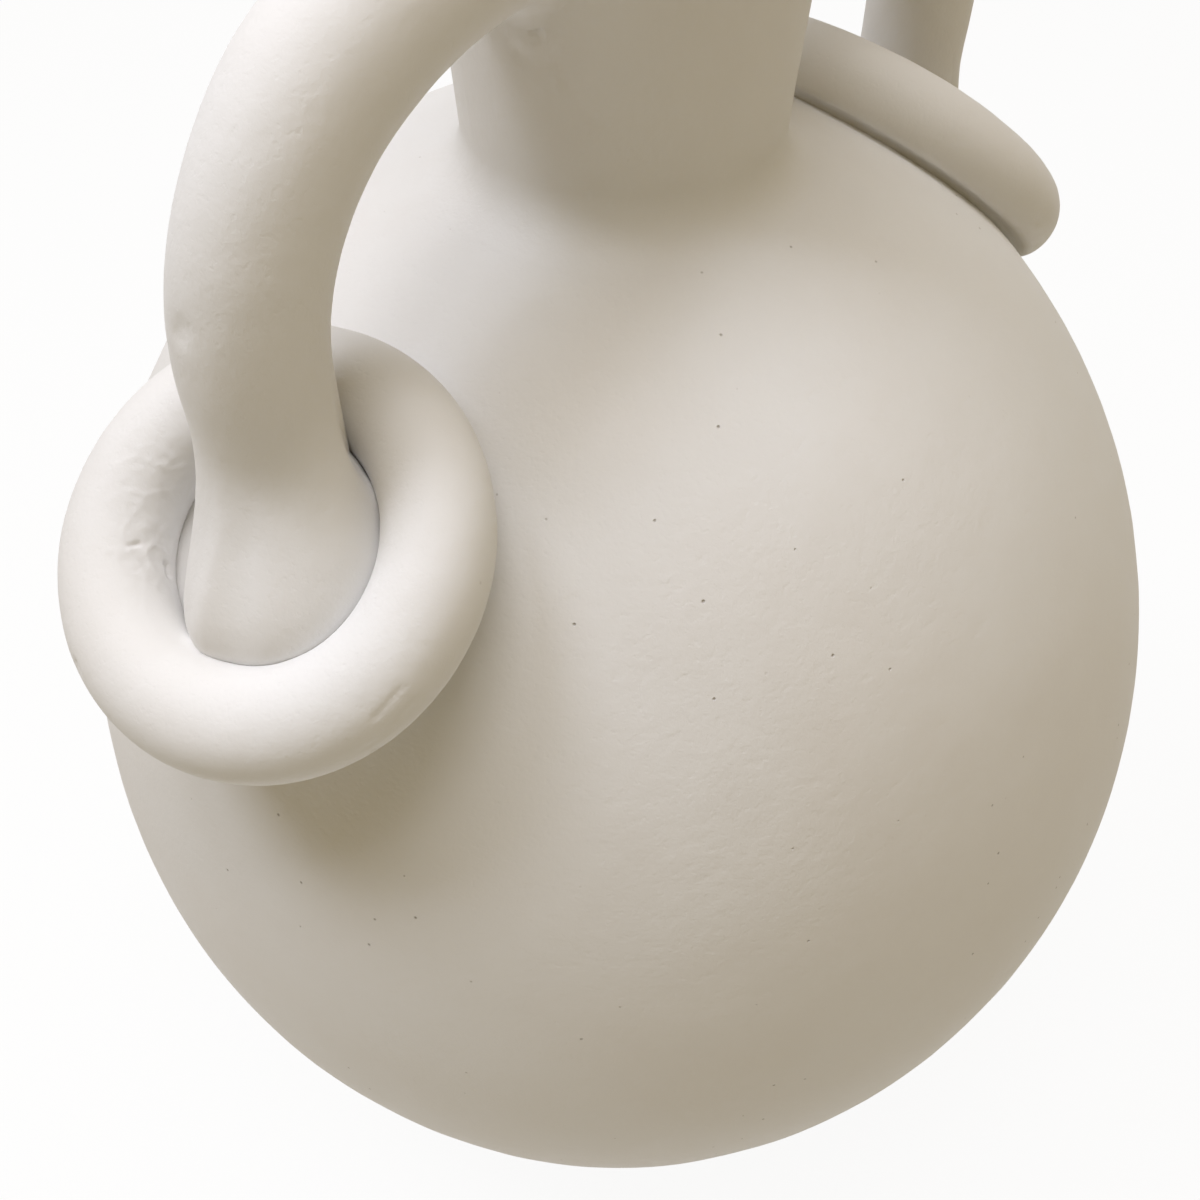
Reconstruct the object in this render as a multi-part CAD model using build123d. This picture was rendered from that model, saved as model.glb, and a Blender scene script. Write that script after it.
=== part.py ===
# A round-bellied clay vase with a short flaring neck and two arched coil handles.
# Each handle stands with its foot inside a thick clay ring that lies on the shoulder.
# Millimetres and degrees. The origin is the middle of the flat foot, and +Z is up
# through the mouth. The left handle lies towards -X and the right handle towards +X.

from build123d import *
from math import atan, cos, radians, sin, sqrt
import os

# The belly: an oval of four arcs, cut flat for the foot.
belly_radius = 110.0
belly_half_height = 127.0
belly_wall = 7.0
foot_radius = 52.0
foot_edge_radius = 3.0
floor_thickness = 9.0

# The neck: a straight flare that opens into a rounded lip.
neck_foot_radius = 25.2
neck_height = 80.6
neck_wall = 6.0
neck_flare_angle = 3.3
mouth_radius = 35.0
neck_fillet_radius = 8.0

# The coil handles: upright from the shoulder, round an elbow and over to the neck.
handle_thickness = 19.2
handle_neck_thickness = 20.4
handle_stand_angle = 39.88
elbow_radius = 36.2
elbow_angle = 62.0
handle_neck_fillet = 3.5
left_handle_turn_angle = 178.9
right_handle_turn_angle = -10.4

# A handle's foot, pressed out down the slope until it fills the ring.
foot_spread_radius = 13.8
foot_spread_rise = 21.0
foot_waist_radius = 10.6
foot_sag = 8.0
foot_bite = 0.6

# The clay rings round the handles' feet, laid by eye, so the two differ.
left_ring_radius = 24.3
left_ring_thickness = 16.0
left_ring_turn_angle = 180.0
left_ring_slip = 4.4
left_ring_lean_angle = 15.6
left_ring_twist_angle = 6.3
left_ring_press = 0.4
right_ring_radius = 35.4
right_ring_thickness = 15.0
right_ring_turn_angle = -7.9
right_ring_slip = 10.5
right_ring_lean_angle = -1.2
right_ring_twist_angle = 4.3
right_ring_press = 3.1

# Where each turned form has its seam, since two seams must not lie together.
outside_seam_angle = 110.0
hollow_seam_angle = 80.0
neck_seam_angle = 50.0
block_seam_angle = 30.0

# One overrun serves all cuts. Edges nearer than touch are the same, and a luting stands
# off by it.
overrun = 40.0
touch = 0.01

# Shares: the shoulder's arc, of an ellipse's there; the flare and the handles' ends, of
# the neck's height; the waist of a spread foot, of its rise.
shoulder_arc_share = 1.05
flare_share = 0.484
handle_join_share = 0.455
waist_share = 0.42

# The oval's arcs: the shoulder's centre lies above the middle, the flank's beyond the axis.
shoulder_arc_radius = shoulder_arc_share * belly_radius**2 / belly_half_height
arc_rise = belly_half_height - shoulder_arc_radius
flank_arc_radius = (belly_radius**2 + arc_rise**2 - shoulder_arc_radius**2) / (
    2 * (belly_radius - shoulder_arc_radius)
)
flank_offset = flank_arc_radius - belly_radius
join_angle = atan(arc_rise / flank_offset)

# Heights above the foot.
middle_height = arc_rise + sqrt(shoulder_arc_radius**2 - foot_radius**2)
shoulder_centre_height = middle_height + arc_rise
shoulder_top = middle_height + belly_half_height
vase_height = shoulder_top + neck_height

# The neck's slant, and the height at which its outside lands on the shoulder.
neck_flare = radians(neck_flare_angle)
landing = shoulder_centre_height + sqrt(shoulder_arc_radius**2 - neck_foot_radius**2)


def facing_arc(angle):
    """The centre, to the right, and the radius of the oval's arc that faces out at an angle."""
    if angle > join_angle:
        return Vector(0, 0, shoulder_centre_height), shoulder_arc_radius
    return Vector(-flank_offset, 0, middle_height), flank_arc_radius


def oval_half(inset):
    """The right half of the belly's oval, as a face, drawn in by inset."""
    shoulder = shoulder_arc_radius - inset
    join_x = shoulder * cos(join_angle)
    join_z = arc_rise + shoulder * sin(join_angle)
    top = (0, shoulder_top - inset)
    upper_join = (join_x, middle_height + join_z)
    side = (belly_radius - inset, middle_height)
    lower_join = (join_x, middle_height - join_z)
    bottom = (0, middle_height - belly_half_height + inset)
    top_arc = RadiusArc(top, upper_join, shoulder)
    side_arc = ThreePointArc(upper_join, side, lower_join)
    bottom_arc = RadiusArc(lower_join, bottom, shoulder)
    return make_face([top_arc, side_arc, bottom_arc, Line(bottom, top)])


def turned(face, seam_angle):
    """A form turned about the upright axis, with its seam at an angle."""
    return Rot(0, 0, seam_angle) * revolve(Plane.XZ * face, Axis.Z)


def level_block(low, high):
    """A block wider than the vase, between two heights."""
    width = 2 * (belly_radius + overrun)
    return Pos(0, 0, (low + high) / 2) * Box(width, width, high - low)


def belly_outside():
    """The belly's outer form, filled, with its rounded foot edge."""
    body = turned(oval_half(0), outside_seam_angle) & level_block(0, vase_height)
    foot_edge = body.edges().group_by(Axis.Z)[0]
    return fillet(foot_edge, foot_edge_radius)


def belly():
    """The hollow belly: an even wall, a thicker floor and the hole under the neck."""
    hollow = turned(oval_half(belly_wall), hollow_seam_angle)
    hollow = hollow & level_block(floor_thickness, vase_height)
    throat = Pos(0, 0, vase_height / 2) * Cylinder(neck_foot_radius - neck_wall, vase_height)
    throat = throat & level_block(middle_height, vase_height)
    return belly_outside() - hollow - throat


def neck_line():
    """The middle of the neck's wall: a straight stem from inside the belly, and the flare."""
    middle_foot = neck_foot_radius - neck_wall / 2
    foot = (middle_foot - belly_wall * sin(neck_flare), landing - belly_wall)
    straight = (shoulder_top + flare_share * neck_height - foot[1]) / cos(neck_flare)
    stem = PolarLine(foot, straight, angle=90 - neck_flare_angle)
    lip = (mouth_radius - neck_wall / 2, vase_height - neck_wall / 2)
    return stem, TangentArc(stem @ 1, lip, tangent=stem % 1)


def beside(curve, place, shift):
    """The point at a place along a curve, moved out square to it by shift."""
    along = curve % place
    return curve @ place + Vector(along.Y, -along.X) * shift


def neck_side(shift):
    """The neck's outer or inner line, from the bottom up."""
    stem, mouth = neck_line()
    straight = Line(beside(stem, 0, shift), beside(stem, 1, shift))
    flare = ThreePointArc(*(beside(mouth, place, shift) for place in (0, 0.5, 1)))
    return straight, flare


def neck_tube():
    """The neck's wall with its round lip, still running on into the belly."""
    outer, outer_flare = neck_side(neck_wall / 2)
    inner, inner_flare = neck_side(-neck_wall / 2)
    mouth = neck_line()[1]
    crest = mouth @ 1 + mouth % 1 * (neck_wall / 2)
    lip = ThreePointArc(outer_flare @ 1, crest, inner_flare @ 1)
    sides = [outer, outer_flare, lip, inner_flare, inner, Line(outer @ 0, inner @ 0)]
    return turned(make_face(sides), neck_seam_angle)


def neck_block(swell=0):
    """The neck filled to its axis and swollen, for trimming what stands on it."""
    outer, outer_flare = neck_side(neck_wall / 2 + swell)
    low, high = outer @ 0, outer_flare @ 1
    sides = Polyline((high.X, high.Y), (0, high.Y), (0, low.Y), (low.X, low.Y))
    return turned(make_face([outer, outer_flare, sides]), block_seam_angle)


def neck_luting():
    """The clay smoothed into the corner at the neck's foot: a hollow arc, turned."""
    shoulder_centre = Vector(0, shoulder_centre_height)
    shoulder_radius = shoulder_arc_radius + touch
    outer = neck_side(neck_wall / 2 + touch)[0]
    slant = outer % 0
    outward = Vector(slant.Y, -slant.X)
    arm = outer @ 0 - shoulder_centre
    to_shoulder = -arm.dot(slant) + sqrt(
        arm.dot(slant) ** 2 + shoulder_radius**2 - arm.length**2
    )
    corner = outer @ 0 + slant * to_shoulder
    arm = corner - shoulder_centre
    climb = -arm.dot(slant) + sqrt(
        arm.dot(slant) ** 2 + 2 * neck_fillet_radius * (shoulder_radius - arm.dot(outward))
    )
    on_neck = corner + slant * climb
    centre = on_neck + outward * neck_fillet_radius
    to_centre = (centre - shoulder_centre).normalized()
    on_belly = centre - to_centre * neck_fillet_radius
    inward = ((on_neck - centre) + (on_belly - centre)).normalized()
    hollow = ThreePointArc(on_neck, centre + inward * neck_fillet_radius, on_belly)
    shoulder = RadiusArc(on_belly, corner, -shoulder_radius)
    return turned(make_face([Line(corner, on_neck), hollow, shoulder]), neck_seam_angle)


def handle_reach():
    """How far from the middle a handle stands."""
    rise = radians(handle_stand_angle)
    centre, radius = facing_arc(rise)
    return centre.X + radius * cos(rise)


def handle_stock(swell=0):
    """A coil, thicker towards the neck and swollen, that runs on into belly and neck."""
    upright = Line((handle_reach(), middle_height), (handle_reach(), shoulder_top))
    elbow = JernArc(upright @ 1, upright % 1, elbow_radius, elbow_angle)
    end = (neck_foot_radius / 2, shoulder_top + handle_join_share * neck_height)
    over = TangentArc(elbow @ 1, end, tangent=elbow % 1)
    coil = Plane.XZ * (upright + elbow)
    taper = Plane.XZ * over
    thin = Circle(handle_thickness / 2 + swell)
    thick = Circle(handle_neck_thickness / 2 + swell)
    foot = Plane(coil @ 0, z_dir=coil % 0) * thin
    start = Plane(taper @ 0, z_dir=taper % 0) * thin
    finish = Plane(taper @ 1, z_dir=taper % 1) * thick
    return sweep(foot, path=coil) + sweep([start, finish], path=taper, multisection=True)


def handle_luting():
    """The clay smoothed into the corner where a handle's coil meets the neck."""
    neck, stock = neck_block(), handle_stock()
    joined = neck + stock
    old_edges = neck.edges() + stock.edges()
    corner = joined.edges().filter_by(
        lambda edge: min(old.distance_to(edge @ 0.5) for old in old_edges) > touch
    )
    return fillet(corner, handle_neck_fillet) - neck_block(touch) - handle_stock(touch)


def ring_plane(turn_angle, slip, ring_radius, thickness, lean_angle, twist_angle, press):
    """The plane of a ring that rests on the shoulder; its y points up the slope."""
    rise = radians(handle_stand_angle) + slip / shoulder_arc_radius
    lean = radians(lean_angle)
    arc_centre, arc_radius = facing_arc(rise)
    contact = arc_radius + thickness / 2 - press
    out = ring_radius * sin(lean) + sqrt(contact**2 - (ring_radius * cos(lean)) ** 2)
    centre = arc_centre + Vector(cos(rise), 0, sin(rise)) * out
    facing = Vector(cos(rise + lean), 0, sin(rise + lean)).rotate(Axis.Z, twist_angle)
    level = Vector(0, 0, 1).cross(facing)
    return Plane(
        centre.rotate(Axis.Z, turn_angle),
        x_dir=level.rotate(Axis.Z, turn_angle),
        z_dir=facing.rotate(Axis.Z, turn_angle),
    )


def spread_foot(turn_angle, lie):
    """A handle's pressed-out foot, from its coil down through the plane that the ring lies in."""
    base = Vector(handle_reach(), 0, 0).rotate(Axis.Z, turn_angle)
    up = Vector(0, 0, 1)
    crossing = base + up * ((lie.origin - base).dot(lie.z_dir) / lie.z_dir.Z)
    toe = crossing - lie.y_dir * foot_sag
    waist = crossing + up * (foot_spread_rise * waist_share)
    toe_section = Plane(toe, z_dir=lie.z_dir) * Circle(foot_spread_radius)
    waist_section = Plane(waist, z_dir=lie.z_dir + up) * Circle(foot_waist_radius)
    top = Plane(crossing + up * foot_spread_rise, z_dir=up)
    top_section = top * Circle(handle_thickness / 2 - foot_bite)
    return loft([toe_section, waist_section, top_section]) + extrude(toe_section, -overrun)


def side_nodes(side, turn_angle, lie, ring_radius, ring_thickness):
    """One side's coil handle, its spread foot, the luting at its neck and its clay ring."""
    body, neck = belly_outside(), neck_block()
    turned_side = Rot(0, 0, turn_angle)
    stock = turned_side * handle_stock()
    full_ring = lie.location * Torus(ring_radius, ring_thickness / 2)
    return {
        f"handle_{side}": stock - body - neck,
        f"handle_{side}_foot": spread_foot(turn_angle, lie) - body - stock - full_ring,
        f"handle_{side}_neck_luting": turned_side * handle_luting(),
        f"ring_{side}": full_ring - body - stock,
    }


left_lie = ring_plane(
    left_ring_turn_angle, left_ring_slip, left_ring_radius, left_ring_thickness,
    left_ring_lean_angle, left_ring_twist_angle, left_ring_press,
)
right_lie = ring_plane(
    right_ring_turn_angle, right_ring_slip, right_ring_radius, right_ring_thickness,
    right_ring_lean_angle, right_ring_twist_angle, right_ring_press,
)

nodes = {
    "belly": belly(),
    "neck": neck_tube() - belly_outside(),
    "neck_luting": neck_luting(),
}
nodes |= side_nodes(
    "left", left_handle_turn_angle, left_lie, left_ring_radius, left_ring_thickness
)
nodes |= side_nodes(
    "right", right_handle_turn_angle, right_lie, right_ring_radius, right_ring_thickness
)

# A cut can leave slivers beside the piece, which is the largest solid of its form.
os.makedirs("parts", exist_ok=True)
for name, shape in nodes.items():
    piece = shape.solids().sort_by(SortBy.VOLUME)[-1]
    export_step(piece, f"parts/{name}.step")
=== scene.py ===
# A round-bellied white clay vase with a flaring neck and two arched coil handles, each
# standing with its foot inside a thick clay ring. Metres; the foot rests on Z = 0.

import math

import bmesh
import bpy
import numpy as np
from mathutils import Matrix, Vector, noise


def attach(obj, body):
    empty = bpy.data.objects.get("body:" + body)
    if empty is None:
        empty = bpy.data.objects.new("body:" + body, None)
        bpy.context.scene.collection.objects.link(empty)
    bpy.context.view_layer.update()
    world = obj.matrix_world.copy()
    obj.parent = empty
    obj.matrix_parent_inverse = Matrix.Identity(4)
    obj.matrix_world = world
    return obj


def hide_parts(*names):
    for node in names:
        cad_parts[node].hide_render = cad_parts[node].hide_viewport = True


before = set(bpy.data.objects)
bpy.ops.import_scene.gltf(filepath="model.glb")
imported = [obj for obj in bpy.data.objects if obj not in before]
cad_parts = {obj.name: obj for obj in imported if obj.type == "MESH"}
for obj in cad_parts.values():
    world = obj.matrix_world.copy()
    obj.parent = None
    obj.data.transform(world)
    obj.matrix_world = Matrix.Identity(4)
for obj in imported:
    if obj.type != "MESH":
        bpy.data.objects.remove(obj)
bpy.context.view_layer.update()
mm = 0.001


# The belly: a hollow ball of white clay, built up and scraped round by hand, then cut flat
# for its foot and opened under the neck. The scraper leaves soft bulges, drags and pinholes.
belly_radius = 110 * mm
belly_half_height = 127 * mm
belly_wall = 7 * mm
foot_radius = 52 * mm
foot_edge_radius = 3 * mm
floor_thickness = 9 * mm
throat_radius = 19.2 * mm
throat_edge = 0.6 * mm
shoulder_flatness = 1.05
shoulder_arc_radius = shoulder_flatness * belly_radius**2 / belly_half_height
arc_rise = belly_half_height - shoulder_arc_radius
flank_arc_radius = (belly_radius**2 + arc_rise**2 - shoulder_arc_radius**2) / (
    2 * (belly_radius - shoulder_arc_radius)
)
flank_offset = flank_arc_radius - belly_radius
join_angle = math.atan(arc_rise / flank_offset)
middle_height = arc_rise + math.sqrt(shoulder_arc_radius**2 - foot_radius**2)
shoulder_centre_height = middle_height + arc_rise
shoulder_top = middle_height + belly_half_height
outside_step = 1.9 * mm
inside_step = 5 * mm
belly_columns = 364
bare_height = 8 * mm


def arc(centre, radius, start, end, step):
    """Points (r, z) along an arc about a centre, without its last point."""
    count = max(3, round(abs(end - start) * radius / step))
    turn = np.linspace(start, end, count, endpoint=False)
    return np.stack([centre[0] + radius * np.cos(turn), centre[1] + radius * np.sin(turn)], 1)


def oval(inset, low_angle, high_angle, step):
    """The belly's side from below to above, (r, z), drawn in by an inset."""
    shoulder, flank = shoulder_arc_radius - inset, flank_arc_radius - inset
    return np.vstack([
        arc((0, middle_height - arc_rise), shoulder, low_angle, -join_angle, step),
        arc((-flank_offset, middle_height), flank, -join_angle, join_angle, step),
        arc((0, shoulder_centre_height), shoulder, join_angle, high_angle, step),
    ])


def turned(profile, around):
    """Loops of points about the upright axis, one for each point (r, z) of a profile."""
    turn = np.linspace(0, 2 * math.pi, around, endpoint=False)
    radius, height = profile[:, :1], profile[:, 1:]
    return np.stack([radius * np.cos(turn), radius * np.sin(turn), height + 0 * turn], 2)


def closed_skin(name, loops, joined=False):
    """A closed mesh through loops of points, joined end to end or brought to a point."""
    count, around = loops.shape[:2]
    points = loops.reshape(-1, 3).tolist()
    number = np.arange(count * around).reshape(count, around)
    first = number if joined else number[:-1]
    second = np.roll(number, -1, 0) if joined else number[1:]
    corners = [first, np.roll(first, -1, 1), np.roll(second, -1, 1), second]
    faces = np.stack(corners, 2).reshape(-1, 4).tolist()
    if not joined:
        for end in (0, count - 1):
            rim = number[end]
            faces += [[a, b, len(points)] for a, b in zip(rim.tolist(), np.roll(rim, -1).tolist())]
            points.append(loops[end].mean(0).tolist())
    mesh = bpy.data.meshes.new(name)
    mesh.from_pydata(points, [], faces)
    shell = bmesh.new()
    shell.from_mesh(mesh)
    bmesh.ops.recalc_face_normals(shell, faces=shell.faces)
    shell.to_mesh(mesh)
    shell.free()
    mesh.shade_smooth()
    return mesh


def read(mesh, what):
    """The points or normals of a mesh, one row each."""
    values = np.empty(len(mesh.vertices) * 3)
    mesh.vertices.foreach_get(what, values)
    return values.reshape(-1, 3)


bulges = (
    (0.34, 46 * mm, Vector((0, 0, 0))), (0.13, 15 * mm, Vector((7, 3, 5))),
    (0.04, 5 * mm, Vector((1, 9, 4))), (0.018, 2.4 * mm, Vector((8, 1, 6))),
)
scraped_away = 0.2


def hand_relief(points):
    """How far hand-worked clay stands off its true form, the same field for every piece."""
    lift = np.empty(len(points))
    for place, point in enumerate(points):
        spot = Vector(point)
        lift[place] = sum(
            height * noise.noise(spot / size + offset) for height, size, offset in bulges
        ) - scraped_away
    return lift * mm


def strokes_cut(points, strokes):
    """How deep strokes of (start, end, width, depth), in mm, cut into points."""
    cut = np.zeros(len(points))
    for start, end, width, depth in strokes:
        start, end = np.array(start) * mm, np.array(end) * mm
        run = end - start
        along = np.clip((points - start) @ run / max(run @ run, 1e-12), 0, 1)
        away = np.linalg.norm(points - start - along[:, None] * run, axis=1)
        cut += depth * mm * np.exp(-((away / (width * mm)) ** 2))
    return cut


def crumpled(points, patches):
    """How far patches of (centre, radius, height), in mm, stand up in torn little ridges."""
    ridge_size, fine_size = 2.3 * mm, 0.9 * mm
    lift = np.zeros(len(points))
    for centre, radius, height in patches:
        away = np.linalg.norm(points - np.array(centre) * mm, axis=1) / (radius * mm)
        share = np.exp(-(away**2))
        for place in np.flatnonzero(share > 0.02):
            spot = Vector(points[place])
            ridge = 1 - 2 * abs(noise.noise(spot / ridge_size))
            fine = noise.noise(spot / fine_size + Vector((4, 4, 2)))
            lift[place] += height * mm * share[place] * (max(ridge, 0) ** 3 + 0.4 * fine - 0.3)
    return lift


def work_by_hand(mesh, strokes=(), patches=(), swell=0.0):
    """Gives a mesh the hand's soft bulges, fading to none at the foot, and its own marks."""
    points, normals = read(mesh, "co"), read(mesh, "normal")
    lift = (hand_relief(points) + swell) * np.clip(points[:, 2] / bare_height, 0, 1)
    lift += crumpled(points, patches) - strokes_cut(points, strokes)
    mesh.vertices.foreach_set("co", (points + normals * lift[:, None]).ravel())
    mesh.update()


def link(shader, source, target):
    shader.node_tree.links.new(source, target)


def white_clay(name, drag_scale, dent_scale, pinhole_share):
    """Fired white clay: matt, faintly clouded, with drag lines, dents, grain and pinholes, whose
    insides are darkened with painted shade.
    """
    clay = bpy.data.materials.new(name)
    clay.use_nodes = True
    nodes = clay.node_tree.nodes
    nodes.clear()
    output = nodes.new("ShaderNodeOutputMaterial")
    surface = nodes.new("ShaderNodeBsdfPrincipled")
    surface.inputs["IOR"].default_value = 1.45
    surface.inputs["Specular IOR Level"].default_value = 0.35
    link(clay, surface.outputs["BSDF"], output.inputs["Surface"])
    place = nodes.new("ShaderNodeTexCoord").outputs["Object"]

    def grain(scale, detail, stretch=(1, 1, 1)):
        """A noise pattern at a scale, drawn out along the axes."""
        mapping = nodes.new("ShaderNodeMapping")
        mapping.inputs["Scale"].default_value = stretch
        link(clay, place, mapping.inputs["Vector"])
        pattern = nodes.new("ShaderNodeTexNoise")
        pattern.inputs["Scale"].default_value = scale
        pattern.inputs["Detail"].default_value = detail
        link(clay, mapping.outputs["Vector"], pattern.inputs["Vector"])
        return pattern.outputs["Fac"]

    def spread(value, low, high, out_low=0.0, out_high=1.0):
        """A value brought from one range to another, and held inside it."""
        ranged = nodes.new("ShaderNodeMapRange")
        ranged.inputs["From Min"].default_value = low
        ranged.inputs["From Max"].default_value = high
        ranged.inputs["To Min"].default_value = out_low
        ranged.inputs["To Max"].default_value = out_high
        link(clay, value, ranged.inputs["Value"])
        return ranged.outputs["Result"]

    def blended(share, first, second):
        """Two colours mixed by a share."""
        mix = nodes.new("ShaderNodeMix")
        mix.data_type = "RGBA"
        link(clay, share, mix.inputs[0])
        for socket, colour in ((mix.inputs[6], first), (mix.inputs[7], second)):
            if isinstance(colour, tuple):
                socket.default_value = colour
            else:
                link(clay, colour, socket)
        return mix.outputs[2]

    def raised(height, distance, below=None):
        """A bump of a real height in metres, laid over another."""
        bump = nodes.new("ShaderNodeBump")
        bump.inputs["Distance"].default_value = distance
        link(clay, height, bump.inputs["Height"])
        if below:
            link(clay, below, bump.inputs["Normal"])
        return bump.outputs["Normal"]

    clouds = grain(16, 3)
    mottle = grain(130, 4)
    warm_white, cool_white = (0.745, 0.728, 0.70, 1), (0.775, 0.773, 0.765, 1)
    # The pinholes' dark brown is painted shade for the inside of the little holes, not a colour of
    # the clay.
    bright_white, pinhole_painted_shade = (0.80, 0.798, 0.785, 1), (0.30, 0.26, 0.21, 1)
    colour = blended(spread(clouds, 0.35, 0.65), warm_white, cool_white)
    colour = blended(spread(mottle, 0.3, 0.8, 0, 0.35), colour, bright_white)

    cells = nodes.new("ShaderNodeTexVoronoi")
    cells.inputs["Scale"].default_value = 300
    link(clay, place, cells.inputs["Vector"])
    chosen = spread(cells.outputs["Color"], 1 - pinhole_share, 1 - pinhole_share + 0.01)
    hole = nodes.new("ShaderNodeMath")
    hole.operation = "MULTIPLY"
    link(clay, spread(cells.outputs["Distance"], 0.04, 0.09, 1, 0), hole.inputs[0])
    link(clay, chosen, hole.inputs[1])
    # Painted shade: the pinhole places are darkened towards brown in the base colour, as shade
    # falling inside them.
    colour = blended(spread(hole.outputs["Value"], 0, 1, 0, 0.7), colour, pinhole_painted_shade)
    link(clay, colour, surface.inputs["Base Color"])

    link(clay, spread(mottle, 0.3, 0.7, 0.58, 0.7), surface.inputs["Roughness"])
    drags = grain(1, 2, drag_scale)
    dents = spread(grain(1, 2, dent_scale), 0.54, 0.76, 1, 0)
    pricks = spread(grain(900, 2), 0.58, 0.74, 1, 0)
    holes = spread(hole.outputs["Value"], 0, 1, 1, 0)
    normal = None
    for height, depth in (
        (grain(1500, 4), 0.03), (grain(420, 4), 0.07), (drags, 0.05),
        (dents, 0.026), (pricks, 0.018), (holes, 0.15),
    ):
        normal = raised(height, depth * mm, normal)
    link(clay, normal, surface.inputs["Normal"])
    return clay


def put_on_body(piece, nodes_it_stands_for):
    """Lets a finished clay piece ride on the vase and stand for its plain solids."""
    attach(piece, "root")
    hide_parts(*nodes_it_stands_for)


def clay_piece(name, mesh, clay):
    """A new object from a finished mesh, in its clay."""
    mesh.materials.clear()
    mesh.materials.append(clay)
    piece = bpy.data.objects.new(name, mesh)
    bpy.context.collection.objects.link(piece)
    return piece


foot_arc_centre = (0, middle_height - arc_rise)
edge_angle = -math.pi / 2 + math.atan2(
    math.sqrt(
        (shoulder_arc_radius - foot_edge_radius) ** 2
        - (foot_arc_centre[1] - foot_edge_radius) ** 2
    ),
    foot_arc_centre[1] - foot_edge_radius,
)
edge_centre = (
    (shoulder_arc_radius - foot_edge_radius) * math.cos(edge_angle),
    foot_edge_radius,
)
floor_angle = -math.asin(
    (foot_arc_centre[1] - floor_thickness) / (shoulder_arc_radius - belly_wall)
)
rest_loops, rest_middle = 8, 8 * mm
rest_radii = np.linspace(rest_middle, edge_centre[0], rest_loops, endpoint=False)
rest_face = np.stack([rest_radii, np.zeros(rest_loops)], 1)
floor_face = rest_face + (0, floor_thickness)
outside = oval(0, edge_angle, math.acos(throat_radius / shoulder_arc_radius), outside_step)
inside = oval(
    belly_wall,
    floor_angle,
    math.acos(throat_radius / (shoulder_arc_radius - belly_wall)),
    inside_step,
)
belly_profile = np.vstack([
    rest_face,
    arc(edge_centre, foot_edge_radius, -math.pi / 2, edge_angle, 1 * mm),
    outside,
    (throat_radius, outside[-1][1] - throat_edge),
    inside[::-1],
    floor_face[::-1],
])
belly_mesh = closed_skin("belly", turned(belly_profile, belly_columns))
belly_clay = white_clay(
    "belly_white_clay",
    drag_scale=(60, 60, 240), dent_scale=(270, 340, 520), pinhole_share=0.3,
)
work_by_hand(
    belly_mesh,
    strokes=(
        ((-35.4, -11.4, 232.2), (-37.6, -9.4, 231.2), 2, -0.25),
        ((-37.2, -12.4, 231.2), (-39, -10.8, 230.4), 2, 0.22),
        ((-47, -30, 222.6), (-50, -27, 221.4), 7, -0.35),
    ),
)
belly = clay_piece("vase_belly", belly_mesh, belly_clay)
put_on_body(belly, ["belly"])


# The neck: a tube of the same clay that widens a little and then flares into a round lip. It
# stands on the shoulder and was drawn upwards with a wet brush, which left fine lines along it.
neck_foot_radius = 25.2 * mm
neck_height = 80.6 * mm
neck_wall = 6 * mm
neck_flare = math.radians(3.3)
mouth_radius = 35 * mm
flare_share = 0.484
flare_height = shoulder_top + flare_share * neck_height
vase_height = shoulder_top + neck_height
landing = shoulder_centre_height + math.sqrt(shoulder_arc_radius**2 - neck_foot_radius**2)
neck_sink = 1 * mm
neck_step = 0.6 * mm
neck_columns = 300


def bend(start, heading, end, shift, step):
    """Points of the arc that leaves a start along a heading for an end, set off by a shift."""
    start, end = np.array(start), np.array(end)
    chord = end - start
    right = np.array([heading[1], -heading[0]])
    radius = chord @ chord / (2 * chord @ right)
    centre = start + radius * right
    first = math.atan2(*(start - centre)[::-1])
    sweep = 2 * math.asin(np.linalg.norm(chord) / (2 * radius))
    return arc(centre, abs(radius) - shift * np.sign(radius), first, first - sweep, step)


def neck_side(shift):
    """One side of the neck's wall, from the shoulder up, (r, z), off its middle by a shift."""
    heading = (math.sin(neck_flare), math.cos(neck_flare))
    middle_foot = (neck_foot_radius - neck_wall / 2, landing - neck_sink)
    stem_end = (
        middle_foot[0] + (flare_height - middle_foot[1]) * math.tan(neck_flare),
        flare_height,
    )
    side = shift * np.array([heading[1], -heading[0]])
    count = round((flare_height - middle_foot[1]) / neck_step)
    stem = np.linspace(middle_foot, stem_end, count, endpoint=False) + side
    lip = (mouth_radius - neck_wall / 2, vase_height - neck_wall / 2)
    return np.vstack([stem, bend(stem_end, heading, lip, shift, neck_step)])


neck_outside, neck_inside = neck_side(neck_wall / 2), neck_side(-neck_wall / 2)
lip_centre = (mouth_radius - neck_wall / 2, vase_height - neck_wall / 2)
lip_tilt = math.atan2(*(neck_outside[-1] - lip_centre)[::-1])
lip = arc(lip_centre, neck_wall / 2, lip_tilt, lip_tilt + math.pi, neck_step)
neck_profile = np.vstack([neck_outside, lip, neck_inside[::-1]])
neck_mesh = closed_skin("neck", turned(neck_profile, neck_columns), joined=True)
work_by_hand(
    neck_mesh,
    strokes=(
        ((-26.7, -1, 262.3), (-26.7, -1.3, 261.7), 0.8, 0.3),
        ((-26.6, -4.5, 266.5), (-26.5, -4.4, 265.9), 0.9, 0.35),
        ((-26, -6.2, 262.2), (-26, -6.4, 261.9), 0.8, 0.3),
        ((-25.3, -8.1, 259.8), (-25.3, -8.2, 259.2), 0.7, 0.25),
    ),
    patches=(((-26.4, -4, 264), 4, 0.2), ((-25.6, -7.4, 260.6), 3, 0.18)),
)
neck_clay = white_clay(
    "neck_white_clay",
    drag_scale=(420, 420, 18), dent_scale=(420, 420, 110), pinhole_share=0.1,
)
neck = clay_piece("vase_neck", neck_mesh, neck_clay)
put_on_body(neck, ["neck"])


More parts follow.
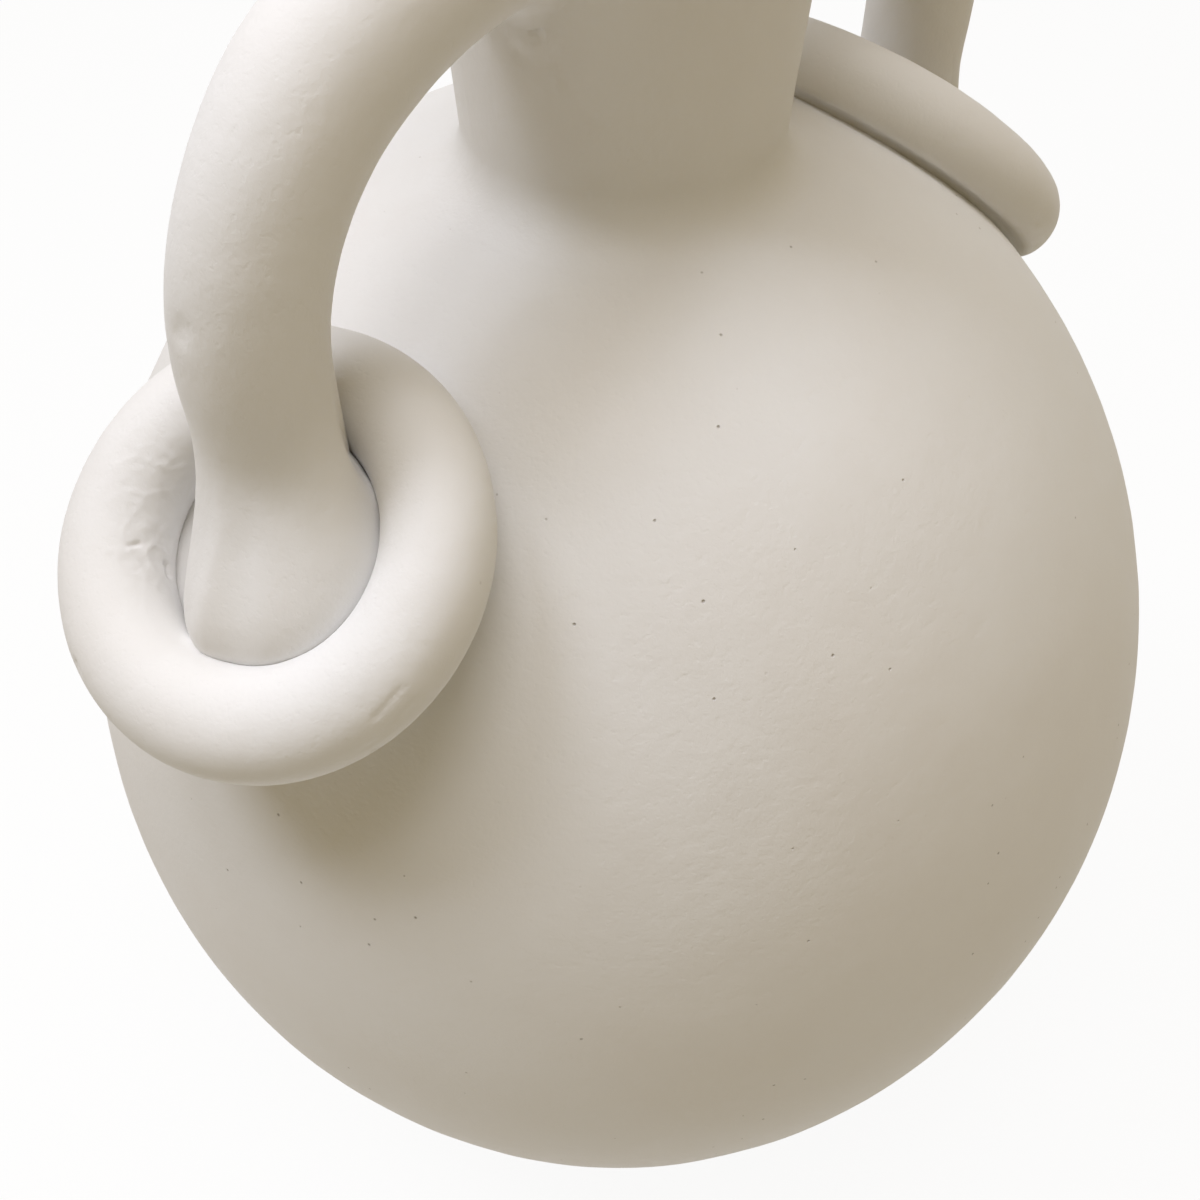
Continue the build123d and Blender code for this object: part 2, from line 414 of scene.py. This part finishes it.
# The luting at the neck's foot: a roll of soft clay smoothed into the corner between the
# neck and the shoulder with a wet finger, wider to the left and at the front.
neck_luting_reach = 6 * mm
wider_in_front = 0.2
front_direction = (-0.82, -0.57, 0)
luting_rows = 25
luting_proud = 0.03 * mm
bed_depth = 0.6
bed_edge = math.radians(40)


def luting_skin(name, limb, corner, body):
    """Clay smoothed from points on a limb, over a corner, to points on a body."""
    shares = np.linspace(0, 1, luting_rows)[:, None, None]
    face = (1 - shares) ** 2 * limb + 2 * shares * (1 - shares) * corner + shares**2 * body
    along = np.roll(face, -1, 1) - np.roll(face, 1, 1)
    outward = np.cross(along, np.gradient(face, axis=0))
    outward /= np.linalg.norm(outward, axis=2)[..., None]
    middle = luting_rows // 2
    outward *= np.sign((outward[middle] * (face[middle] - corner)).sum(1))[None, :, None]
    lift = hand_relief(face.reshape(-1, 3)).reshape(face.shape[:2]) + luting_proud
    worked = face + outward * lift[..., None]
    bed = corner + (corner - face[middle]) * bed_depth
    mesh = closed_skin(name, np.concatenate([worked, bed[None]]), joined=True)
    mesh.set_sharp_from_angle(angle=bed_edge)
    return mesh


turn = np.linspace(0, 2 * math.pi, neck_columns, endpoint=False)
around = np.stack([np.cos(turn), np.sin(turn), 0 * turn], 1)
front = around @ front_direction
reach = (neck_luting_reach * (1 + wider_in_front * front))[:, None]
corner = around * neck_foot_radius + (0, 0, landing)
limb = corner + reach * (around * math.sin(neck_flare) + (0, 0, math.cos(neck_flare)))
slope = math.asin(neck_foot_radius / shoulder_arc_radius) + reach / shoulder_arc_radius
body = shoulder_arc_radius * (around * np.sin(slope) + (0, 0, 1) * np.cos(slope))
body = body + (0, 0, shoulder_centre_height)
neck_luting_mesh = luting_skin("neck_luting", limb, corner, body)
neck_luting = clay_piece("neck_foot_luting", neck_luting_mesh, belly_clay)
put_on_body(neck_luting, ["neck_luting"])


# The two handles: rolled coils of clay, bent while soft. Each stands upright on the
# shoulder, goes round an elbow and over to the neck, where it was pressed on.
coil_radius = 9.6 * mm
coil_neck_radius = 10.2 * mm
stand_angle = math.radians(39.6)
elbow_radius = 36.2 * mm
elbow_angle = math.radians(62)
join_share = 0.455
join_height = shoulder_top + join_share * neck_height
handle_reach = shoulder_arc_radius * math.cos(stand_angle)
left_turn = math.radians(178.9)
right_turn = math.radians(-10.4)
left_bottom, right_bottom = 196 * mm, 192 * mm
coil_sink = 1 * mm
coil_bite = 2 * mm
path_step = 1 * mm
upright_points = 40


def new_node(tree, kind, **settings):
    node = tree.nodes.new(kind)
    for name, value in settings.items():
        setattr(node, name, value)
    return node


def clay_coil_tree():
    """Geometry Nodes that roll a coil of clay along a path of edges."""
    tree = bpy.data.node_groups.new("clay_coil", "GeometryNodeTree")
    sockets = (
        ("Path", "NodeSocketGeometry"), ("Coil radius", "NodeSocketFloat"),
        ("End radius", "NodeSocketFloat"), ("Taper from", "NodeSocketFloat"),
        ("Loops along", "NodeSocketInt"), ("Points around", "NodeSocketInt"),
        ("Clay", "NodeSocketMaterial"),
    )
    for name, kind in sockets:
        tree.interface.new_socket(name, in_out="INPUT", socket_type=kind)
    tree.interface.new_socket("Coil", in_out="OUTPUT", socket_type="NodeSocketGeometry")
    given = new_node(tree, "NodeGroupInput").outputs
    result = new_node(tree, "NodeGroupOutput").inputs
    path = new_node(tree, "GeometryNodeMeshToCurve")
    even = new_node(tree, "GeometryNodeResampleCurve")
    along = new_node(tree, "GeometryNodeSplineParameter")
    taper = new_node(tree, "ShaderNodeMapRange", interpolation_type="SMOOTHSTEP")
    round_section = new_node(tree, "GeometryNodeCurvePrimitiveCircle")
    round_section.inputs["Radius"].default_value = 1
    roll = new_node(tree, "GeometryNodeCurveToMesh")
    roll.inputs["Fill Caps"].default_value = True
    smooth = new_node(tree, "GeometryNodeSetShadeSmooth")
    solid = new_node(tree, "GeometryNodeRealizeInstances")
    coloured = new_node(tree, "GeometryNodeSetMaterial")
    for source, target in (
        (given["Path"], path.inputs["Mesh"]),
        (path.outputs["Curve"], even.inputs["Curve"]),
        (given["Loops along"], even.inputs["Count"]),
        (along.outputs["Factor"], taper.inputs["Value"]),
        (given["Taper from"], taper.inputs["From Min"]),
        (given["Coil radius"], taper.inputs["To Min"]),
        (given["End radius"], taper.inputs["To Max"]),
        (given["Points around"], round_section.inputs["Resolution"]),
        (even.outputs["Curve"], roll.inputs["Curve"]),
        (round_section.outputs["Curve"], roll.inputs["Profile Curve"]),
        (taper.outputs["Result"], roll.inputs["Scale"]),
        (roll.outputs["Mesh"], smooth.inputs["Geometry"]),
        (smooth.outputs["Geometry"], solid.inputs["Geometry"]),
        (solid.outputs["Geometry"], coloured.inputs["Geometry"]),
        (given["Clay"], coloured.inputs["Material"]),
        (coloured.outputs["Geometry"], result["Coil"]),
    ):
        tree.links.new(source, target)
    return tree


coil_tree = clay_coil_tree()


def rolled_coil(name, path, closed, clay, **sizes):
    """A coil of clay rolled along a path of points, as a plain mesh."""
    count = len(path)
    edges = [(place, place + 1) for place in range(count - 1)]
    if closed:
        edges.append((count - 1, 0))
    line = bpy.data.meshes.new(name + "_path")
    line.from_pydata(path.tolist(), edges, [])
    carrier = bpy.data.objects.new(name + "_path", line)
    bpy.context.collection.objects.link(carrier)
    roll = carrier.modifiers.new("clay_coil", "NODES")
    roll.node_group = coil_tree
    values = {title.replace("_", " "): value for title, value in sizes.items()} | {"Clay": clay}
    for socket in coil_tree.interface.items_tree:
        if socket.name in values:
            roll[socket.identifier] = values[socket.name]
    depsgraph = bpy.context.evaluated_depsgraph_get()
    mesh = bpy.data.meshes.new_from_object(carrier.evaluated_get(depsgraph))
    mesh.name = name
    carrier.modifiers.clear()
    bpy.data.objects.remove(carrier)
    return mesh


def upright_plane(line, turn):
    """Points (r, z) of a line set into the upright plane at a turn about the axis."""
    r, z = line[:, 0], line[:, 1]
    return np.stack([r * math.cos(turn), r * math.sin(turn), z], 1)


def handle_line(bottom):
    """A handle's middle line, (r, z), from a height on the shoulder over into the neck."""
    elbow_centre = (handle_reach - elbow_radius, shoulder_top)
    upright = np.stack([
        np.full(upright_points, handle_reach),
        np.linspace(bottom, shoulder_top, upright_points, endpoint=False),
    ], 1)
    elbow = arc(elbow_centre, elbow_radius, 0, elbow_angle, path_step)
    elbow_end = (
        elbow_centre[0] + elbow_radius * math.cos(elbow_angle),
        elbow_centre[1] + elbow_radius * math.sin(elbow_angle),
    )
    heading = (-math.sin(elbow_angle), math.cos(elbow_angle))
    over = bend(elbow_end, heading, (neck_foot_radius / 2, join_height), 0, path_step)
    line = np.vstack([upright, elbow, over])
    return line[line[:, 0] > neck_foot_radius - coil_bite]


def off_belly(points):
    """How far points stand outside the belly's true form."""
    radius, height = np.hypot(points[:, 0], points[:, 1]), points[:, 2] - middle_height
    on_shoulder = np.arctan2(height - arc_rise, radius) > join_angle
    from_shoulder = np.hypot(radius, height - arc_rise) - shoulder_arc_radius
    from_flank = np.hypot(radius + flank_offset, height) - flank_arc_radius
    return np.where(on_shoulder, from_shoulder, from_flank)


def rest_on_belly(mesh, sink):
    """Lifts a piece's lowest points, step by step, until none lies deeper than a sink."""
    points = read(mesh, "co")
    lifts = 20
    for _ in range(lifts):
        deep = np.clip(-sink - off_belly(points), 0, None)
        points[:, 2] += deep
    mesh.vertices.foreach_set("co", points.ravel())
    mesh.update()


def handle_mesh(name, bottom, turn, clay):
    return rolled_coil(
        name, upright_plane(handle_line(bottom), turn), False, clay,
        Coil_radius=coil_radius, End_radius=coil_neck_radius, Taper_from=0.45,
        Loops_along=360, Points_around=140,
    )


coil_clay = white_clay(
    "coil_white_clay",
    drag_scale=(90, 90, 90), dent_scale=(300, 380, 300), pinhole_share=0.1,
)
coil_swell = 0.25 * mm
handle_strokes = (
    ((-84.9, 2.4, 251.7), (-85.2, 2.8, 250.9), 1.6, 0.35),
    ((-80, -7.6, 262), (-77, -8.6, 266), 3.5, 0.2),
)
left_handle_mesh = handle_mesh("left_handle", left_bottom, left_turn, coil_clay)
rest_on_belly(left_handle_mesh, coil_sink)
work_by_hand(left_handle_mesh, handle_strokes, swell=coil_swell)
left_handle = clay_piece("left_handle_coil", left_handle_mesh, coil_clay)
put_on_body(left_handle, ["handle_left"])
right_handle_mesh = handle_mesh("right_handle", right_bottom, right_turn, coil_clay)
rest_on_belly(right_handle_mesh, coil_sink)
work_by_hand(right_handle_mesh, swell=coil_swell)
right_handle = clay_piece("right_handle_coil", right_handle_mesh, coil_clay)
put_on_body(right_handle, ["handle_right"])


# The lutings at the handles' upper ends: soft clay wiped into the corner between each coil
# and the neck, all the way round.
handle_luting_reach = 3.2 * mm
luting_columns = 160
from_end = -6


def neck_radius_at(height):
    return neck_foot_radius + (height - landing) * math.tan(neck_flare)


def handle_luting(name, turn):
    """The skirt of clay between a handle's end and the neck."""
    line = handle_line(shoulder_top)
    path = upright_plane(line, turn)
    run = path[-1] - path[from_end]
    heading = run / np.linalg.norm(run)
    level = np.array([-math.sin(turn), math.cos(turn), 0])
    over = np.cross(heading, level)
    angles = np.linspace(0, 2 * math.pi, luting_columns, endpoint=False)[:, None]
    outward = np.cos(angles) * level + np.sin(angles) * over
    corner = path[from_end] + outward * coil_neck_radius
    steps_to_neck = 40
    for _ in range(steps_to_neck):
        gap = np.hypot(corner[:, 0], corner[:, 1]) - neck_radius_at(corner[:, 2])
        corner = corner + heading * gap[:, None]
    from_axis = corner * (1, 1, 0) / np.hypot(corner[:, 0], corner[:, 1])[:, None]
    along_neck = outward - from_axis * (outward * from_axis).sum(1)[:, None]
    along_neck /= np.linalg.norm(along_neck, axis=1)[:, None]
    body = corner + along_neck * handle_luting_reach
    ratio = neck_radius_at(body[:, 2]) / np.hypot(body[:, 0], body[:, 1])
    body[:, :2] *= ratio[:, None]
    return luting_skin(name, corner - heading * handle_luting_reach, corner, body)


for side, side_turn in (("left", left_turn), ("right", right_turn)):
    luting_mesh = handle_luting(side + "_handle_luting", side_turn)
    luting = clay_piece(side + "_handle_neck_luting", luting_mesh, neck_clay)
    put_on_body(luting, [f"handle_{side}_neck_luting"])


# The two clay rings: coils closed into rings and laid round the handles' feet. They were
# set by eye, so they lean and twist differently, and the right one is larger.
def ring_frame(turn, slip, ring_radius, thickness, lean, twist, press):
    """Centre and axes (level, up the slope, facing out) of a ring, tilted by degrees."""
    rise = stand_angle + math.radians(slip)
    lean, twist = math.radians(lean), math.radians(twist)
    contact = shoulder_arc_radius + thickness / 2 - press
    out = ring_radius * math.sin(lean) + math.sqrt(
        contact**2 - (ring_radius * math.cos(lean)) ** 2
    )
    centre = Vector((out * math.cos(rise) * math.cos(turn), out * math.cos(rise) * math.sin(turn),
                     shoulder_centre_height + out * math.sin(rise)))
    facing = Vector((math.cos(rise + lean) * math.cos(turn + twist),
                     math.cos(rise + lean) * math.sin(turn + twist), math.sin(rise + lean)))
    level = Vector((0, 0, 1)).cross(facing).normalized()
    return [np.array(axis) for axis in (centre, level, facing.cross(level), facing)]


def ring_mesh(name, place, ring_radius, thickness, clay):
    centre, level, uphill, facing = place
    path_points = 180
    angles = np.linspace(0, 2 * math.pi, path_points, endpoint=False)[:, None]
    path = centre + ring_radius * (np.cos(angles) * level + np.sin(angles) * uphill)
    return rolled_coil(
        name, path, True, clay,
        Coil_radius=thickness / 2, End_radius=thickness / 2, Taper_from=0.5,
        Loops_along=380, Points_around=130,
    )


left_ring_radius, left_ring_thickness = 24.3 * mm, 16 * mm
left_ring_place = ring_frame(
    math.pi, slip=2.8, ring_radius=left_ring_radius, thickness=left_ring_thickness,
    lean=15.6, twist=6.3, press=0.4 * mm,
)
ring_strokes = (
    ((-90.8, 13.2, 210.1), (-91.4, 12.6, 209.2), 0.5, 0.7),
    ((-108.5, 13.5, 205.6), (-108.7, 12.6, 205), 0.6, 0.5),
    ((-94.5, -27.9, 203.8), (-94.6, -27.9, 203.7), 0.5, 0.7),
    ((-93.8, 15.6, 215.2), (-92.6, 15.2, 214.8), 0.35, 0.35),
    ((-90.1, -29.8, 213.9), (-94, -28.5, 211), 0.45, 0.17),
    ((-89, -31, 211.5), (-93.5, -29.6, 208.3), 0.4, 0.18),
    ((-92.4, -29.9, 208), (-96.5, -27.9, 205.8), 0.45, 0.18),
    ((-96.6, 1.5, 207.4), (-95.4, -1, 207), 1.5, -0.7),
)
ring_patches = (
    ((-93.6, 15.2, 214.6), 4, 0.16), ((-85.5, 17.5, 220), 5, 0.15), ((-91.5, 13, 210.5), 4, 0.16),
)
left_ring_mesh = ring_mesh(
    "left_ring", left_ring_place, left_ring_radius, left_ring_thickness, coil_clay
)
work_by_hand(left_ring_mesh, ring_strokes, ring_patches)
left_ring = clay_piece("left_clay_ring", left_ring_mesh, coil_clay)
put_on_body(left_ring, ["ring_left"])

right_ring_radius, right_ring_thickness = 35.4 * mm, 15 * mm
tuck_depth, tuck_width = 1.1 * mm, 1.5 * mm
right_ring_place = ring_frame(
    math.radians(-7.9), slip=6.3, ring_radius=right_ring_radius,
    thickness=right_ring_thickness, lean=-1.2, twist=4.3, press=3.1 * mm,
)
right_ring_mesh = ring_mesh(
    "right_ring", right_ring_place, right_ring_radius, right_ring_thickness, coil_clay
)
work_by_hand(right_ring_mesh)
under_edge = np.exp(-((off_belly(read(right_ring_mesh, "co")) / tuck_width) ** 2))[:, None]
tucked = read(right_ring_mesh, "co") - read(right_ring_mesh, "normal") * tuck_depth * under_edge
right_ring_mesh.vertices.foreach_set("co", tucked.ravel())
right_ring_mesh.update()
right_ring = clay_piece("right_clay_ring", right_ring_mesh, coil_clay)
put_on_body(right_ring, ["ring_right"])


# The handles' feet: soft clay of each coil pressed out down the slope. The left one fills
# its ring below and to the right and was rolled into a seam there, but left a slit open.
left_rise, right_rise = 18 * mm, 21 * mm
right_sag = 8 * mm
foot_columns, foot_rows, seam_rows = 340, 90, 25
seam_depth = 30
foot_swell = 0.3 * mm
top_pull, rim_roll, rim_tuck = 0.42, 0.3, 0.05
seam_pull, seam_flare = 0.95, 0.75
wobbles = ((0.22, 7, 1), (0.13, 12, 0))
easing = 19


def rim_around(table, angles):
    """Rows of (degrees, radius, height, radius below, height below) eased all the way round."""
    table = np.array(table)
    degrees = np.degrees(angles)
    columns = [np.interp(degrees, table[:, 0], column, period=360) for column in table.T[1:]]
    window = np.hanning(easing) / np.hanning(easing).sum()
    half = easing // 2
    eased = [np.convolve(np.r_[row[-half:], row, row[:half]], window, "valid") for row in columns]
    for height, count, start in wobbles:
        eased[1] = eased[1] + height * np.sin(count * angles + start)
    return np.array(eased)[..., None] * mm


def spread_foot(name, turn, place, middle, table, rise):
    """A foot's skin from its coil over a rim, round a middle, and down into the seam."""
    centre, level, uphill, facing = place
    base = handle_reach * np.array([math.cos(turn), math.sin(turn), 0])
    crossing = base + (0, 0, (centre - base) @ facing / facing[2])
    up = np.array([0, 0, 1])
    inward = np.cross(up, level)
    angles = np.linspace(0, 2 * math.pi, foot_columns, endpoint=False)
    radius, height, low_radius, low_height = rim_around(table, angles)
    outward = np.cos(angles)[:, None] * level + np.sin(angles)[:, None] * uphill
    rim = middle + outward * radius + facing * height
    low = middle + outward * low_radius + facing * low_height
    bearing = np.arctan2((rim - crossing) @ inward, (rim - crossing) @ level)[:, None]
    from_coil = np.cos(bearing) * level + np.sin(bearing) * inward
    top = crossing + (coil_radius + 0.02 * mm) * from_coil
    top = top + up * ((rise - ((top - centre) @ facing)[:, None]) / facing[2])
    drop = np.linalg.norm(top - rim, axis=1)[:, None]
    below_top = top - up * drop * top_pull + from_coil * foot_swell
    above_rim = rim + facing * drop * rim_roll - outward * drop * rim_tuck
    collar = ((4, 0.5), (3, 0.12), (2, 0.08), (1, 0.04))
    loops = [top + up * lift * mm - from_coil * inset * mm for lift, inset in collar]
    for share in np.linspace(0, 1, foot_rows):
        other = 1 - share
        loops.append(other**3 * top + 3 * other**2 * share * below_top
                     + 3 * other * share**2 * above_rim + share**3 * rim)
    below_rim = rim - facing * (height - low_height) * seam_pull
    beside_low = low - outward * (low_radius - radius) * seam_flare
    for share in np.linspace(0, 1, seam_rows)[1:]:
        other = 1 - share
        loops.append(other**3 * rim + 3 * other**2 * share * below_rim
                     + 3 * other * share**2 * beside_low + share**3 * low)
    for depth in range(1, seam_depth):
        loops.append(low - facing * depth * mm)
    return closed_skin(name, np.array(loops))


left_rim = (
    (-180, 8.5, 0.6, 19.5, -4), (-165, 8.7, 0.5, 19.5, -4), (-150, 9.9, 0, 19.5, -4),
    (-137, 12.3, -1, 19.3, -4.4), (-122, 15.6, -2, 19, -6), (-107, 17, -1.2, 18.6, -6),
    (-95, 17.2, 1.2, 18.8, -3), (-80, 16.9, 0.2, 18.4, -3), (-58, 17, 1.2, 18.8, -2),
    (-39, 17.1, 1.2, 18.8, -2), (-16, 16.8, 0.6, 18.4, -2), (4, 16.7, 0.2, 18.4, -2),
    (32, 16.9, 0.8, 18.4, -2), (46, 17.3, 2.6, 18.4, -2), (56, 16.8, 3.4, 17.4, -4),
    (68, 17, 4.4, 17.6, -4), (80, 17.2, 5.2, 17.8, -4), (92, 18, 6, 19.6, 0),
    (115, 18, 5, 19.6, 0), (140, 12, 1, 19.4, -4), (160, 8.7, 0.8, 19.5, -4),
)
foot_strokes = (
    ((-75.9, -8.1, 226.1), (-75.8, -8.1, 225.8), 0.5, 0.45),
    ((-84.4, -4.8, 207.7), (-86.4, -3.2, 205), 0.25, 0.08),
    ((-83.4, -6.2, 207.2), (-84.9, -5.6, 206), 0.25, 0.06),
)
right_toe = (13.8, 0, 14.2, -2)
right_rim = ((0, *right_toe), (180, *right_toe))
right_base = handle_reach * np.array([math.cos(right_turn), math.sin(right_turn), 0])
right_centre, right_uphill, right_facing = (right_ring_place[row] for row in (0, 2, 3))
right_middle = right_base - right_uphill * right_sag + (
    0, 0, (right_centre - right_base) @ right_facing / right_facing[2]
)
for side, side_turn, place, middle, table, rise in (
    ("left", left_turn, left_ring_place, left_ring_place[0], left_rim, left_rise),
    ("right", right_turn, right_ring_place, right_middle, right_rim, right_rise),
):
    foot_mesh = spread_foot(side + "_foot", side_turn, place, middle, table, rise)
    rest_on_belly(foot_mesh, coil_sink)
    work_by_hand(foot_mesh, foot_strokes, swell=coil_swell)
    foot = clay_piece(side + "_handle_foot", foot_mesh, coil_clay)
    put_on_body(foot, [f"handle_{side}_foot"])


# The studio: a pale matt floor under a white surround. A large soft lamp overhead and one to
# the left light the vase, and a weak warm one fills in from the right.
floor_mesh = bpy.data.meshes.new("floor")
floor_half = 3
white_of_floor = 0.93
floor_mesh.from_pydata(
    [(-floor_half, -floor_half, 0), (floor_half, -floor_half, 0),
     (floor_half, floor_half, 0), (-floor_half, floor_half, 0)], [], [(0, 1, 2, 3)],
)
floor = bpy.data.objects.new("studio_floor", floor_mesh)
bpy.context.collection.objects.link(floor)
pale = bpy.data.materials.new("pale_floor")
pale.use_nodes = True
floor_nodes = pale.node_tree.nodes
floor_surface = floor_nodes["Principled BSDF"]
floor_surface.inputs["Base Color"].default_value = (0.86, 0.85, 0.82, 1)
floor_surface.inputs["Roughness"].default_value = 0.8


def seen_directly(nodes, links):
    """One for rays from the camera or through gloss and glass, else zero."""
    rays = nodes.new("ShaderNodeLightPath")
    total = rays.outputs["Is Camera Ray"]
    for kind in ("Is Glossy Ray", "Is Transmission Ray"):
        either = nodes.new("ShaderNodeMath")
        either.operation = "MAXIMUM"
        links.new(total, either.inputs[0])
        links.new(rays.outputs[kind], either.inputs[1])
        total = either.outputs["Value"]
    return total


white = floor_nodes.new("ShaderNodeEmission")
white_share = floor_nodes.new("ShaderNodeMath")
white_share.operation = "MULTIPLY"
white_share.inputs[1].default_value = white_of_floor
floor_mix = floor_nodes.new("ShaderNodeMixShader")
links = pale.node_tree.links
links.new(seen_directly(floor_nodes, links), white_share.inputs[0])
links.new(white_share.outputs["Value"], floor_mix.inputs["Fac"])
links.new(floor_surface.outputs["BSDF"], floor_mix.inputs[1])
links.new(white.outputs["Emission"], floor_mix.inputs[2])
links.new(floor_mix.outputs["Shader"], floor_nodes["Material Output"].inputs["Surface"])
floor_mesh.materials.append(pale)

world = bpy.data.worlds.new("studio")
bpy.context.scene.world = world
world.use_nodes = True
world_nodes, links = world.node_tree.nodes, world.node_tree.links
surround = world_nodes["Background"]
surround.inputs["Color"].default_value = (1.0, 0.72, 0.2, 1)
surround.inputs["Strength"].default_value = 0.23
backdrop = world_nodes.new("ShaderNodeBackground")
backdrop.inputs["Color"].default_value = (1, 1, 1, 1)
backdrop.inputs["Strength"].default_value = 1
world_mix = world_nodes.new("ShaderNodeMixShader")
links.new(seen_directly(world_nodes, links), world_mix.inputs["Fac"])
links.new(surround.outputs["Background"], world_mix.inputs[1])
links.new(backdrop.outputs["Background"], world_mix.inputs[2])
links.new(world_mix.outputs["Shader"], world_nodes["World Output"].inputs["Surface"])


def soft_lamp(name, place, aim, size, power, colour):
    """A square soft box at a place, turned to an aim."""
    lamp = bpy.data.lights.new(name, "AREA")
    lamp.size = size
    lamp.energy = power
    lamp.color = colour
    stand = bpy.data.objects.new(name, lamp)
    stand.location = place
    stand.rotation_euler = (Vector(aim) - Vector(place)).to_track_quat("-Z", "Y").to_euler()
    bpy.context.collection.objects.link(stand)


vase_middle = (0, 0, 0.15)
soft_lamp("overhead_lamp", (-0.034, -0.024, 1.35), vase_middle, 0.7, 8.6, (0.93, 0.93, 1))
soft_lamp("left_lamp", (-0.342, 0.493, 1.189), vase_middle, 0.4, 7.2, (0.83, 0.87, 1))
soft_lamp("right_lamp", (0.643, -0.926, 0.56), vase_middle, 0.7, 0.6, (1, 0.86, 0.64))

# The camera stands close before the left handle and looks down on the shoulder, as in the
# photo, so that the neck's lip and the handles' tops are outside the picture.
camera_data = bpy.data.cameras.new("camera")
camera_data.lens = 38.67
camera_data.sensor_width = 36
camera = bpy.data.objects.new("camera", camera_data)
camera.location = (-0.1539, -0.1067, 0.343)
camera_aim = Vector((0.0051, 0.0082, 0.11605))
camera.rotation_euler = (camera_aim - camera.location).to_track_quat("-Z", "Y").to_euler()
bpy.context.collection.objects.link(camera)
bpy.context.scene.camera = camera
bpy.context.scene.view_settings.view_transform = "Standard"
